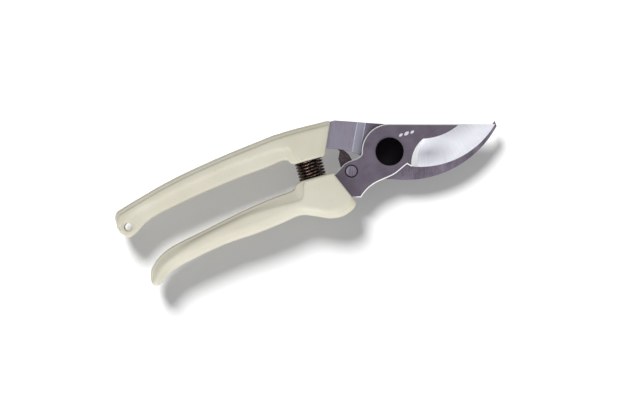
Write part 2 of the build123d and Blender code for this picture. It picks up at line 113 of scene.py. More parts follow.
@dataclass(frozen=True)
class Datum:
    """The blade pivot in the frame, about which every size is given."""

    x: float
    y: float
    z: float

    @classmethod
    def from_frame(cls) -> "Datum":
        """Reads the pivot's place and the middle plane of the grips from the frame.

        Returns:
            The datum, in millimetres.
        """
        pivot = next(joint for joint in frame["joints"] if joint["name"] == "blade_pivot")
        low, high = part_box("upper_grip")
        return cls(pivot["pos_m"][0] / MM, pivot["pos_m"][1] / MM, (low.z + high.z) / 2 / MM)

    def point(self, x: float, y: float, z: float = 0.0) -> Vector:
        """Place in the frame, in metres.

        Args:
            x: Distance towards the blade tip, in millimetres.
            y: Distance towards the back of the blade.
            z: Height over the middle plane of the grips.

        Returns:
            The same place in the frame.
        """
        return Vector(((x + self.x) * MM, (y + self.y) * MM, (z + self.z) * MM))

    def matrix(self) -> Matrix:
        """Transform that takes millimetres about the pivot to metres in the frame."""
        return Matrix.Translation(self.point(0, 0)) @ Matrix.Scale(MM, 4)


DATUM = Datum.from_frame()


class Shader:
    """A material's node tree, with short calls to add and join nodes."""

    def __init__(self, name: str) -> None:
        """Starts a material that holds one Principled shader.

        Args:
            name: Name of the material.
        """
        self.material = bpy.data.materials.new(name)
        self.material.use_nodes = True
        self.tree = self.material.node_tree
        self.bsdf = self.tree.nodes["Principled BSDF"]
        self.coords = self.tree.nodes.new("ShaderNodeTexCoord")

    def link(self, source: Socket, target: Socket) -> None:
        """Joins two sockets."""
        self.tree.links.new(source, target)

    def mapping(self, location: Vector, angle: float, scale: tuple[float, float, float]) -> Socket:
        """Object coordinates, moved, turned about Z and stretched.

        Args:
            location: Place in the frame that becomes the origin.
            angle: Turn about Z in degrees, after the move.
            scale: Stretch along the turned axes.

        Returns:
            The socket with the new coordinates.
        """
        move = self.tree.nodes.new("ShaderNodeMapping")
        move.inputs["Location"].default_value = -location
        self.link(self.coords.outputs["Object"], move.inputs["Vector"])
        turn = self.tree.nodes.new("ShaderNodeMapping")
        turn.inputs["Rotation"].default_value = (0, 0, math.radians(-angle))
        self.link(move.outputs["Vector"], turn.inputs["Vector"])
        stretch = self.tree.nodes.new("ShaderNodeMapping")
        stretch.inputs["Scale"].default_value = scale
        self.link(turn.outputs["Vector"], stretch.inputs["Vector"])
        return stretch.outputs["Vector"]

    def noise(self, vector: Socket, scale: float, detail: float = 3.0) -> Socket:
        """Noise pattern.

        Args:
            vector: Coordinates.
            scale: Cells in a metre.
            detail: Number of finer layers.

        Returns:
            The pattern's value, about 0.5.
        """
        node = self.tree.nodes.new("ShaderNodeTexNoise")
        node.inputs["Scale"].default_value = scale
        node.inputs["Detail"].default_value = detail
        self.link(vector, node.inputs["Vector"])
        return node.outputs["Fac"]

    def math(self, operation: str, first: Socket, second: float | Socket) -> Socket:
        """Arithmetic on one socket and a number or a second socket.

        Args:
            operation: Blender's name of the operation.
            first: First socket.
            second: Number or socket.

        Returns:
            The result.
        """
        node = self.tree.nodes.new("ShaderNodeMath")
        node.operation = operation
        self.link(first, node.inputs[0])
        if isinstance(second, (int, float)):
            node.inputs[1].default_value = second
        else:
            self.link(second, node.inputs[1])
        return node.outputs[0]

    def remap(
        self, value: Socket, source: tuple[float, float], target: tuple[float, float]
    ) -> Socket:
        """Maps a range of values to another and clamps what lies outside.

        Args:
            value: Socket to map.
            source: Its low and high end.
            target: What they become.

        Returns:
            The mapped value.
        """
        node = self.tree.nodes.new("ShaderNodeMapRange")
        node.inputs["From Min"].default_value, node.inputs["From Max"].default_value = source
        node.inputs["To Min"].default_value, node.inputs["To Max"].default_value = target
        self.link(value, node.inputs["Value"])
        return node.outputs["Result"]

    def blend(self, share: Socket, low: Colour | Socket, high: Colour | Socket) -> Socket:
        """Mixes two colours.

        Args:
            share: Share of the second colour.
            low: First colour.
            high: Second colour.

        Returns:
            The mixed colour.
        """
        node = self.tree.nodes.new("ShaderNodeMix")
        node.data_type = "RGBA"
        self.link(share, node.inputs["Factor"])
        for socket, colour in ((node.inputs[6], low), (node.inputs[7], high)):
            if isinstance(colour, tuple):
                socket.default_value = (*colour, 1)
            else:
                self.link(colour, socket)
        return node.outputs[2]

    def bump(self, height: Socket, strength: float, distance: float) -> None:
        """Adds a bump map.

        Args:
            height: Pattern that is the height.
            strength: Strength, from 0 to 1.
            distance: Height of the pattern, in millimetres.
        """
        node = self.tree.nodes.new("ShaderNodeBump")
        node.inputs["Strength"].default_value = strength
        node.inputs["Distance"].default_value = distance * MM
        self.link(height, node.inputs["Height"])
        self.link(node.outputs["Normal"], self.bsdf.inputs["Normal"])

    def split(self, vector: Socket) -> bpy.types.bpy_prop_collection:
        """Takes coordinates apart.

        Args:
            vector: Coordinates.

        Returns:
            The sockets, by the names "X", "Y" and "Z".
        """
        node = self.tree.nodes.new("ShaderNodeSeparateXYZ")
        self.link(vector, node.inputs["Vector"])
        return node.outputs

    def tilt(self) -> Socket:
        """Z part of the surface's own direction: 1 on faces square to the front."""
        return self.split(self.coords.outputs["Normal"])["Z"]


@dataclass(frozen=True)
class MouldedPlastic:
    """Cream plastic with a faint orange-peel skin, uneven tone and rubbed places."""

    name: str = "cream_plastic"
    body: Colour = srgb(222, 218, 201)
    tone: Colour = srgb(215, 210, 190)
    dirt: Colour = srgb(186, 180, 156)
    roughness: float = 0.42
    tone_grain: float = 38.0
    speck_grain: float = 900.0
    rubbed_grain: float = 120.0
    peel_grain: float = 1500.0
    scatter: float = 0.12
    scatter_reach: tuple[float, float, float] = (1.6, 1.2, 0.7)

    def material(self) -> bpy.types.Material:
        """Builds the material.

        Returns:
            The material.
        """
        shader = Shader(self.name)
        place = shader.coords.outputs["Object"]
        tone = shader.remap(shader.noise(place, self.tone_grain), MIDDLE, (0, 1))
        colour = shader.blend(tone, self.body, self.tone)
        specks = shader.remap(shader.noise(place, self.speck_grain, 1.0), (0.70, 0.80), (0, 0.35))
        colour = shader.blend(specks, colour, self.dirt)
        shader.link(colour, shader.bsdf.inputs["Base Color"])
        rubbed = shader.noise(place, self.rubbed_grain)
        low, high = self.roughness - 0.06, self.roughness + 0.08
        shader.link(shader.remap(rubbed, MIDDLE, (low, high)), shader.bsdf.inputs["Roughness"])
        shader.bsdf.inputs["Subsurface Weight"].default_value = self.scatter
        shader.bsdf.inputs["Subsurface Radius"].default_value = tuple(r * MM for r in self.scatter_reach)
        shader.bump(shader.noise(place, self.peel_grain, 2.0), 0.12, 0.08)
        return shader.material


@dataclass(frozen=True)
class GroundSteel:
    """Steel plate with belt marks on its faces, polished bevels, and edges painted bright as a highlight.
    """

    name: str
    flat: Colour
    flat_light: Colour
    bevel: Colour
    bevel_shade: Colour
    # rim: colour of the chamfered edges and slopes, painted bright as a highlight
    rim: Colour
    side: Colour
    centre: tuple[float, float]
    along: Along = Along.ACROSS_EDGE
    roughness: float = 0.42
    metallic: float = 0.75
    side_metallic: float = 0.15
    # Darker oval patch painted on the bevel as shade: its colour, then its place and half axes
    painted_shade_colour: Colour = srgb(112, 112, 124)
    painted_shade_place: tuple[float, float] = (18.8, -6.0)
    painted_shade_size: tuple[float, float] = (14.0, 6.6)
    # Lighter colour painted behind the plate's step as a sheen, and the distance from the pivot where it
    # starts
    painted_sheen: Colour = srgb(134, 133, 146)
    painted_sheen_from: float = 400.0
    # Dark colour painted in the recess round the rivet as shade, and that recess's centre and radius
    painted_recess_shade: Colour = srgb(14, 11, 14)
    recess_shade_place: tuple[float, float] = (0.0, 0.0)
    recess_shade_r: float = 0.0
    face_node: str = ""
    across_stretch: tuple[float, float, float] = (6000, 220, 220)
    along_stretch: tuple[float, float, float] = (160, 5200, 220)
    swirl_grain: float = 190.0
    swirl_length: float = 60.0
    # Turn of the oval patch of painted shade on the bevel
    painted_shade_turn: float = -8.0
    step_turn: float = 153.9
    step_blend: float = 1.2

    def marks(self, shader: Shader) -> Socket:
        """Fine belt marks.

        Args:
            shader: Material in the making.

        Returns:
            The pattern, about 0.5.
        """
        angle = VIEW_TURN if self.along is Along.ALONG_BLADE else -VIEW_TURN
        stretch = self.across_stretch if self.along is Along.ACROSS_EDGE else self.along_stretch
        return shader.noise(shader.mapping(DATUM.point(*self.centre), angle, stretch), 1.0, 2.0)

    def swirl(self, shader: Shader) -> Socket:
        """Marks square to a curved cutting edge, from the angle about the edge's centre.

        Args:
            shader: Material in the making.

        Returns:
            The pattern, about 0.5.
        """
        place = shader.split(shader.mapping(DATUM.point(*self.centre), 0, (1, 1, 1)))
        angle = shader.math("ARCTAN2", place["X"], place["Y"])
        join = shader.tree.nodes.new("ShaderNodeCombineXYZ")
        shader.link(shader.math("MULTIPLY", angle, self.swirl_grain), join.inputs["X"])
        shader.link(shader.math("MULTIPLY", place["Y"], self.swirl_length), join.inputs["Y"])
        return shader.noise(join.outputs["Vector"], 1.0, 3.0)

    def ring(self, shader: Shader, edge: tuple[float, float]) -> Socket:
        """Share of the recess round the rivet, which is painted dark as shade.

        Args:
            shader: Material in the making.
            edge: Distances between which the recess ends, counted in its radius.

        Returns:
            The share, 1 inside the recess.
        """
        recess = self.away(shader, self.recess_shade_place, (self.recess_shade_r, self.recess_shade_r), 0.0)
        return shader.remap(recess, edge, (1, 0))

    def away(
        self, shader: Shader, centre: tuple[float, float], size: tuple[float, float], turn: float
    ) -> Socket:
        """Distance from a place on the plate, counted in the half axes of an oval.

        Args:
            shader: Material in the making.
            centre: Place about the pivot.
            size: Half axes of the oval.
            turn: Turn of the oval in degrees.

        Returns:
            The distance, 1 on the oval.
        """
        stretch = (1 / (size[0] * MM), 1 / (size[1] * MM), 1.0)
        flat = shader.tree.nodes.new("ShaderNodeVectorMath")
        flat.operation = "MULTIPLY"
        flat.inputs[1].default_value = (1, 1, 0)
        shader.link(shader.mapping(DATUM.point(*centre), turn, stretch), flat.inputs[0])
        length = shader.tree.nodes.new("ShaderNodeVectorMath")
        length.operation = "LENGTH"
        shader.link(flat.outputs["Vector"], length.inputs[0])
        return length.outputs["Value"]

    def flat_share(self, shader: Shader, tilt: Socket) -> Socket:
        """Share of the flat's finish, by the front face's height or else by what lies square to the front.

        Args:
            shader: Material in the making.
            tilt: Z part of the surface's direction.

        Returns:
            The share, from 0 to 1.
        """
        square = shader.remap(tilt, FLAT_TILT, (0, 1))
        if not self.face_node:
            return square
        height = shader.split(shader.coords.outputs["Object"])["Z"]
        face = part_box(self.face_node)[1].z
        level = shader.remap(height, (face - 0.03 * MM, face - 0.01 * MM), (0, 1))
        level = shader.math("MAXIMUM", level, self.ring(shader, (1.0, 1.02)))
        return shader.math("MULTIPLY", square, level)

    def painted_sheen_share(self, shader: Shader) -> Socket:
        """Share of the painted sheen behind the step of the plate, where the plate is painted lighter.

        Args:
            shader: Material in the making.

        Returns:
            The share, from 0 to 1.
        """
        behind = shader.split(shader.mapping(DATUM.point(0, 0), self.step_turn, (1, 1, 1)))["X"]
        start = self.painted_sheen_from * MM
        return shader.remap(behind, (start, start + self.step_blend * MM), (0, 1))

    def material(self) -> bpy.types.Material:
        """Builds the material.

        Returns:
            The material.
        """
        shader = Shader(self.name)
        tilt = shader.tilt()
        marks = self.marks(shader)
        patches = shader.noise(shader.coords.outputs["Object"], 140, 4.0)
        fine = shader.remap(shader.math("ADD", marks, patches), (0.75, 1.3), (0, 1))
        flat = shader.blend(fine, self.flat, self.flat_light)
        swirl = shader.remap(self.swirl(shader), (0.40, 0.80), (0, 0.6))
        bevel = shader.blend(swirl, self.bevel, self.bevel_shade)
        # Painted shade: a darker oval patch across the bevel
        painted_shade_patch = self.away(shader, self.painted_shade_place, self.painted_shade_size, self.painted_shade_turn)
        bevel = shader.blend(shader.remap(painted_shade_patch, (0.0, 1.1), (0.7, 0)), bevel, self.painted_shade_colour)
        # Painted sheen: behind its step the plate is painted lighter
        flat = shader.blend(self.painted_sheen_share(shader), flat, shader.blend(fine, self.painted_sheen, self.flat_light))
        # Painted shade: the recess round the rivet is painted dark
        if self.recess_shade_r:
            flat = shader.blend(self.ring(shader, (0.97, 1.0)), flat, self.painted_recess_shade)
        # Chamfered edges and slopes take the rim colour by their tilt: a painted highlight
        front = shader.blend(shader.remap(tilt, BEVEL_TILT, (0, 1)), self.rim, bevel)
        front = shader.blend(self.flat_share(shader, tilt), front, flat)
        side = shader.blend(fine, self.side, self.flat)
        colour = shader.blend(shader.remap(tilt, SIDE_TILT, (0, 1)), side, front)
        colour = shader.blend(shader.remap(tilt, UNDER_TILT, (1, 0)), colour, flat)
        shader.link(colour, shader.bsdf.inputs["Base Color"])
        metallic = shader.remap(tilt, METAL_TILT, (self.side_metallic, self.metallic))
        shader.link(metallic, shader.bsdf.inputs["Metallic"])
        low, high = self.roughness - 0.06, self.roughness + 0.10
        shader.link(shader.remap(marks, (0.3, 0.7), (low, high)), shader.bsdf.inputs["Roughness"])
        shader.bump(marks, 0.10, 0.03)
        return shader.material


@dataclass(frozen=True)
class PlainMetal:
    """Turned, rolled or coated metal with faint marks and a little unevenness."""

    name: str
    body: Colour
    worn: Colour
    roughness: float = 0.35
    metallic: float = 1.0
    grain: float = 900.0
    specular: float = 0.5

    def material(self) -> bpy.types.Material:
        """Builds the material.

        Returns:
            The material.
        """
        shader = Shader(self.name)
        place = shader.coords.outputs["Object"]
        patches = shader.remap(shader.noise(place, self.grain, 3.0), (0.4, 0.7), (0, 1))
        shader.link(shader.blend(patches, self.body, self.worn), shader.bsdf.inputs["Base Color"])
        low, high = self.roughness - 0.05, self.roughness + 0.08
        shader.link(shader.remap(patches, (0, 1), (low, high)), shader.bsdf.inputs["Roughness"])
        shader.bsdf.inputs["Metallic"].default_value = self.metallic
        shader.bsdf.inputs["Specular IOR Level"].default_value = self.specular
        shader.bump(shader.noise(place, self.grain * 2, 2.0), 0.08, 0.04)
        return shader.material


Finish = MouldedPlastic | GroundSteel | PlainMetal

EDGE_CENTRE = (25.3, 30.6)
PLASTIC = MouldedPlastic()
# The blade's rim colour is pure white, a painted highlight on its chamfered edges
BLADE_STEEL = GroundSteel(
    "ground_blade", flat=srgb(88, 80, 92), flat_light=srgb(109, 101, 113), bevel=srgb(216, 217, 222),
    bevel_shade=srgb(182, 182, 194), rim=srgb(255, 255, 255), side=srgb(70, 64, 76), centre=EDGE_CENTRE,
    # The recess round the rivet, painted dark as shade, is centred and sized here
    along=Along.ALONG_BLADE, recess_shade_place=(-21.3, -4.3), recess_shade_r=3.4, face_node="cutting_blade",
)
# The hook's rim colour is a painted highlight on its chamfered edges and the slope of its step
HOOK_STEEL = GroundSteel(
    "ground_hook", flat=srgb(74, 65, 78), flat_light=srgb(132, 122, 137), bevel=srgb(190, 190, 202),
    bevel_shade=srgb(148, 146, 160), rim=srgb(176, 174, 190), side=srgb(66, 60, 70), centre=EDGE_CENTRE,
    # The hook is painted lighter behind its step as a sheen
    along=Along.ACROSS_EDGE, painted_sheen_from=18.0,
)
BLACK_STEEL = PlainMetal(
    "black_bolt", srgb(4, 2, 4), srgb(9, 6, 9), roughness=0.55, metallic=0.0, grain=700, specular=0.04
)
SPRING_STEEL = PlainMetal("spring_wire", srgb(56, 44, 42), srgb(128, 106, 98), roughness=0.26)
LEVER_STEEL = PlainMetal("lever_steel", srgb(57, 48, 52), srgb(82, 74, 78), roughness=0.42)
ZINC_STEEL = PlainMetal("zinc_steel", srgb(168, 168, 174), srgb(196, 196, 200), roughness=0.36)
ETCHED = PlainMetal(
    "etched_mark", srgb(226, 224, 232), srgb(206, 204, 214), roughness=0.55, metallic=0.4, grain=3000
)


def placed(name: str, shape: bmesh.types.BMesh) -> bpy.types.Object:
    """Puts a shape in the scene, in an object at the origin.

    Args:
        name: Name of the object.
        shape: Mesh in the frame's metres, which is freed.

    Returns:
        The object.
    """
    mesh = bpy.data.meshes.new(name)
    shape.to_mesh(mesh)
    shape.free()
    thing = bpy.data.objects.new(name, mesh)
    bpy.context.scene.collection.objects.link(thing)
    return thing


@dataclass
class Piece:
    """A visible piece: its mesh, its body, its slot and the node it stands for."""

    name: str
    body: str
    slot: str
    finish: Finish
    stands_for: str = ""

    def show(self, shape: bmesh.types.BMesh, smooth_under: float = 40.0) -> bpy.types.Object:
        """Makes the object from a shape in millimetres about the pivot.

        Args:
            shape: Mesh, which is freed.
            smooth_under: Edges that turn by less than this many degrees are smooth.

        Returns:
            The new object, not yet on its body.
        """
        bmesh.ops.remove_doubles(shape, verts=shape.verts, dist=1e-4)
        bmesh.ops.recalc_face_normals(shape, faces=shape.faces)
        bmesh.ops.transform(shape, matrix=DATUM.matrix(), verts=shape.verts)
        piece = placed(self.name, shape)
        piece.data.shade_smooth()
        piece.data.set_sharp_from_angle(angle=math.radians(smooth_under))
        piece.data.materials.append(self.finish.material())
        return piece

    def settle(self, piece: bpy.types.Object) -> bpy.types.Object:
        """Puts the finished object on its body and hides the node that it stands for.

        Args:
            piece: The object.

        Returns:
            The same object.
        """
        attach(piece, self.body)
        if self.stands_for:
            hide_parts(self.stands_for)
        log.info("%s: %d faces on %s", self.name, len(piece.data.polygons), self.body)
        return piece


def grow_ring(shape: bmesh.types.BMesh, ring: Verts, places: list[Vector]) -> Verts:
    """Extrudes a closed ring of vertices to new places.

    Args:
        shape: Mesh to work in.
        ring: Vertices in order round the ring.
        places: Where the new vertices go, in the same order.

    Returns:
        The new ring, in the same order.
    """
    edges = [shape.edges.get((vert, ring[index - 1])) for index, vert in enumerate(ring)]
    made = bmesh.ops.extrude_edge_only(shape, edges=edges)["geom"]
    fresh = {item for item in made if isinstance(item, bmesh.types.BMVert)}
    grown = []
    for vert, spot in zip(ring, places):
        partner = next(edge.other_vert(vert) for edge in vert.link_edges if edge.other_vert(vert) in fresh)
        partner.co = spot
        grown.append(partner)
    return grown


def first_ring(shape: bmesh.types.BMesh, places: list[Vector]) -> Verts:
    """Makes a closed ring of vertices and puts them in place.

    Args:
        shape: Mesh to work in.
        places: Where the vertices go, in order.

    Returns:
        The ring's vertices, in order.
    """
    ring = bmesh.ops.create_circle(shape, segments=len(places), radius=1.0)["verts"]
    for vert, spot in zip(ring, places):
        vert.co = spot
    return list(ring)


def catmull(points: list[tuple[float, ...]], share: float) -> list[float]:
    """Smooth curve through rows of numbers.

    Args:
        points: Rows that the curve passes through.
        share: Place along it, counted in rows.

    Returns:
        The row at that place.
    """
    index = min(int(share), len(points) - 2)
    t = share - index
    row = [points[max(0, min(len(points) - 1, index + step))] for step in (-1, 0, 1, 2)]
    weights = (
        -0.5 * t**3 + t**2 - 0.5 * t,
        1.5 * t**3 - 2.5 * t**2 + 1,
        -1.5 * t**3 + 2 * t**2 + 0.5 * t,
        0.5 * t**3 - 0.5 * t**2,
    )
    return [sum(w * numbers[k] for w, numbers in zip(weights, row)) for k in range(len(points[0]))]


@dataclass
class Grip(Piece):
    """A moulded grip, swept through cross-sections that stand between its inner and its back edge.

    A row is the inner edge's x and y, the back edge's x and y, the band's width, and how far the
    sides are drawn in. The band is the lower strip along the inner edge, and the lip is the lower
    strip along the back.
    """

    rows: list[tuple[float, ...]] = field(default_factory=list)
    back_radius: float = 3.6
    inner_radius: float = 1.3
    band_step: float = 0.6
    band_depth: float = 1.9
    crown: float = 0.35
    lip: float = 0.0
    lip_width: float = 2.7
    seam: float = 0.10
    steps: int = 4
    seat_y: float = 0.0
    pocket_direction: int = 1
    pocket_x: float = -41.0
    pocket_r: float = 7.6
    pocket_depth: float = 8.6
    rim: float = 0.5
    front_bevel: float = 0.8
    tail_steps: tuple[tuple[float, float], ...] = ((0.86, 0.45), (0.62, 0.80), (0.30, 1.0))
    smooth_under: float = 32.0
    corner_points: int = 6
    full_band: float = 2.2
    step_width: float = 0.9
    hair: float = 0.02
    flank: float = 0.35

    def half_depth(self) -> float:
        """Half the depth of the grip, a hair inside its node."""
        low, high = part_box(self.stands_for)
        return (high.z - low.z) / 2 / MM - self.hair

    def corner(self, radius: float, width: float, top: float, edge: Face) -> Profile:
        """Rounded corner as points (distance from the inner edge, height), from the edge to the top.

        Args:
            radius: Radius of the corner.
            width: Width of the section.
            top: Height where the corner ends.
            edge: Edge that the corner is on.

        Returns:
            The points of the corner.
        """
        points = []
        for step in range(self.corner_points):
            angle = math.radians(90 * step / (self.corner_points - 1))
            inset = radius * (1 - math.cos(angle))
            height = top - radius * (1 - math.sin(angle))
            points.append((inset if edge is Face.INNER else width - inset, height))
        return points

    def half_section(self, width: float, half: float, band: float) -> Profile:
        """Upper half of a cross-section, from the inner edge over the top to the back edge.

        Args:
            width: Width between the inner and the back edge.
            half: Half the depth.
            band: Width of the lower band.

        Returns:
            Points (distance from the inner edge, height over the middle plane).
        """
        back = min(self.back_radius, 0.46 * width, 0.8 * half)
        inner = min(self.inner_radius, 0.3 * width)
        lip = min(self.lip_width, 0.4 * width)
        share = max(0.0, min(1.0, band / self.full_band))
        depth = self.band_step * share
        room = width - (lip if self.lip else back + 0.2)
        step = min(max(band, inner + 0.3), room - 1.6)
        start = min(step + self.step_width, width - back - 0.2)
        low = half - self.band_depth * share
        brow = half - depth
        # Inner wall and the band, with the step up from it
        points = [(-self.seam, 0.0), (0.0, self.flank), (0.0, (low - inner) * 0.55)]
        points += self.corner(inner, width, low, Face.INNER)
        points += [((inner + step) / 2, (low + brow) / 2), (step - 0.25, brow - 0.03)]
        points += [(step + 0.05, brow + 0.1 * depth), ((step + start) / 2, brow + 0.6 * depth)]
        points += [(start, half - 0.12 * share - self.hair / 2), (start + 0.5, half - self.hair)]
        # Crowned top, and the lip where it has one
        edge = width - back - 0.2
        top = half - self.crown * 0.15
        if self.lip:
            edge = width - lip
            back = min(back, width - edge - 0.9)
            top = half - self.lip
        points += [((start + 0.5 + edge) / 2, half), (edge - 0.15, half - self.hair - self.crown * 0.1)]
        if self.lip:
            points += [(edge + 0.08, half - 0.15), (edge + 0.7, top + 0.06)]
        # Rounded back and the parting seam
        points += reversed(self.corner(back, width, top, Face.BACK))
        points += [(width, (half - back) * 0.5), (width, self.flank), (width + self.seam, 0.0)]
        return points

    def section(self, row: list[float]) -> list[Vector]:
        """Whole cross-section at one row, as places about the pivot.

        Args:
            row: A row as the class describes it.

        Returns:
            Places in order round the section.
        """
        inner, back = Vector(row[0:2]), Vector(row[2:4])
        across = (back - inner).normalized()
        width = (back - inner).length
        upper = self.half_section(width, self.half_depth() - row[5], row[4])
        flat = upper + [(along, -height) for along, height in reversed(upper[1:-1])]
        return [Vector((*(inner + across * along), height)) for along, height in flat]

    def sweep(self) -> bmesh.types.BMesh:
        """Sweeps the sections from the front face to the tail and closes both ends.

        Returns:
            The closed shape.
        """
        shape = bmesh.new()
        count = (len(self.rows) - 1) * self.steps
        sections = [self.section(catmull(self.rows, i / self.steps)) for i in range(count + 1)]
        ring = first_ring(shape, sections[0])
        front = list(ring)
        for places in sections[1:]:
            ring = grow_ring(shape, ring, places)
        face = bmesh.ops.contextual_create(shape, geom=front)["faces"][0]
        bmesh.ops.bevel(shape, geom=list(face.edges), offset=self.front_bevel, segments=3, profile=0.5,
                        affect="EDGES", material=-1)
        self.close_tail(shape, ring)
        return shape

    def close_tail(self, shape: bmesh.types.BMesh, ring: Verts) -> None:
        """Rounds the tail off with smaller rings and a last face.

        Args:
            shape: Mesh to work in.
            ring: Last ring of the sweep.
        """
        middle = sum((vert.co for vert in ring), Vector()) / len(ring)
        inner_x, inner_y, back_x, back_y = self.rows[-3][:4]
        before = Vector(((inner_x + back_x) / 2, (inner_y + back_y) / 2, 0))
        outward = (middle - before).normalized()
        spots = [vert.co.copy() for vert in ring]
        for shrink, push in self.tail_steps:
            places = [middle + (spot - middle) * shrink + outward * push for spot in spots]
            ring = grow_ring(shape, ring, places)
        bmesh.ops.contextual_create(shape, geom=ring)

    def drill(self, points: Profile, centre: Vector, axis: str) -> bpy.types.Object:
        """A turned cutter.

        Args:
            points: Profile (radius, height) from one end to the other.
            centre: Origin of the cutter about the pivot.
            axis: "Z" or "Y", the way that it points.

        Returns:
            The cutter, as an object in the frame.
        """
        shape = turned(points, 48)
        if axis == "Y":
            bmesh.ops.rotate(shape, verts=shape.verts, matrix=Matrix.Rotation(math.radians(-90), 3, "X"))
        bmesh.ops.translate(shape, verts=shape.verts, vec=centre)
        bmesh.ops.transform(shape, matrix=DATUM.matrix(), verts=shape.verts)
        return placed("cutter", shape)

    def pocket_cutter(self) -> bpy.types.Object:
        """Cutter of the blind spring pocket, with a rounded mouth.

        Returns:
            The cutter.
        """
        r, d, rim = self.pocket_r, self.pocket_depth, self.rim
        profile = [(0, d), (r - rim, d), (r, d - rim), (r, rim), (r + rim * 0.3, rim * 0.3), (r + rim, 0),
                   (r + rim, -3), (0, -3)]
        if self.pocket_direction < 0:
            profile = [(radius, -height) for radius, height in reversed(profile)]
        return self.drill(profile, Vector((self.pocket_x, self.seat_y, 0)), "Y")

    def cutters(self) -> list[bpy.types.Object]:
        """All cutters of this grip."""
        return [self.pocket_cutter()]

    def build(self) -> bpy.types.Object:
        """Builds the grip: swept body, subdivided skin, then the cut openings.

        Returns:
            The grip.
        """
        piece = self.show(self.sweep(), 38.0)
        skin = piece.modifiers.new("skin", "SUBSURF")
        skin.levels = skin.render_levels = 1
        cutters = self.cutters()
        for cutter in cutters:
            cut = piece.modifiers.new("cut", "BOOLEAN")
            cut.object = cutter
            cut.solver = "EXACT"
        ready = piece.evaluated_get(bpy.context.evaluated_depsgraph_get())
        mesh = bpy.data.meshes.new_from_object(ready)
        piece.modifiers.clear()
        piece.data = mesh
        mesh.set_sharp_from_angle(angle=math.radians(self.smooth_under))
        for cutter in cutters:
            bpy.data.objects.remove(cutter)
        return self.settle(piece)


def turned(points: Profile, segments: int) -> bmesh.types.BMesh:
    """Shape turned about Z.

    Args:
        points: Profile (radius, height) from one end of the axis to the other.
        segments: Steps round the axis.

    Returns:
        The closed shape.
    """
    shape = bmesh.new()
    chain = [shape.verts.new((radius, 0, height)) for radius, height in points]
    edges = [shape.edges.new(pair) for pair in zip(chain, chain[1:])]
    bmesh.ops.spin(shape, geom=chain + edges, cent=(0, 0, 0), axis=(0, 0, 1), angle=math.tau,
                   steps=segments, use_merge=True)
    bmesh.ops.remove_doubles(shape, verts=shape.verts, dist=1e-4)
    bmesh.ops.dissolve_degenerate(shape, edges=shape.edges, dist=1e-5)
    bmesh.ops.recalc_face_normals(shape, faces=shape.faces)
    return shape


@dataclass
class UpperGrip(Grip):
    """Upper grip: a long bowed back and a hanging hole in its tail."""

    hole: tuple[float, float] = (-137.9, -1.0)
    hole_r: float = 2.0
    relief_r: float = 3.4
    web_half: float = 5.5

    def cutters(self) -> list[bpy.types.Object]:
        """Pocket, hanging hole and the scallop round it on both sides.

        Returns:
            The cutters.
        """
        centre = Vector((*self.hole, 0))
        r, relief, web = self.hole_r, self.relief_r, self.web_half
        side = [(r, 0), (r, web - 0.5), (r + 0.2, web - 0.12), (r + 0.6, web), (relief - 0.4, web),
                (relief, web + 0.3), (relief + 0.2, web + 9), (0, web + 9)]
        profile = [(radius, -height) for radius, height in reversed(side[1:])] + side
        return [self.pocket_cutter(), self.drill(profile, centre, "Z")]


@dataclass
class ReturnSpring(Piece):
    """Coil spring whose turns sit between the two grips."""

    axis_x: float = -41.0
    coil_r: float = 6.48
    wire_r: float = 0.62
    turns: int = 16
    low: float = -10.23
    high: float = 14.63
    steps: int = 28

    def build(self) -> bpy.types.Object:
        """Spins a round wire section up the coil and caps its ground ends.

        Returns:
            The spring.
        """
        shape = bmesh.new()
        ring = bmesh.ops.create_circle(shape, segments=10, radius=self.wire_r, cap_ends=False)["verts"]
        bmesh.ops.rotate(shape, verts=ring, matrix=Matrix.Rotation(math.radians(90), 3, "X"))
        bmesh.ops.translate(shape, verts=ring, vec=(self.coil_r, 0, 0))
        count = self.turns * self.steps
        rise = (self.high - self.low) / count
        edges = list(shape.edges)
        bmesh.ops.spin(shape, geom=list(ring) + edges, cent=(0, 0, 0), axis=(0, 0, 1),
                       dvec=(0, 0, rise), angle=math.tau * self.turns, steps=count)
        bmesh.ops.holes_fill(shape, edges=[edge for edge in shape.edges if edge.is_boundary], sides=0)
        bmesh.ops.rotate(shape, verts=shape.verts, matrix=Matrix.Rotation(math.radians(-90), 3, "X"))
        bmesh.ops.translate(shape, verts=shape.verts, vec=(self.axis_x, self.low, 0))
        piece = self.show(shape, 60.0)
        DATUM.point(self.axis_x, self.high)
        DATUM.point(self.axis_x, self.low)
        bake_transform(piece)
        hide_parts(self.stands_for)
        log.info("%s: %d faces, bends between both grips", self.name, len(piece.data.polygons))
        return piece


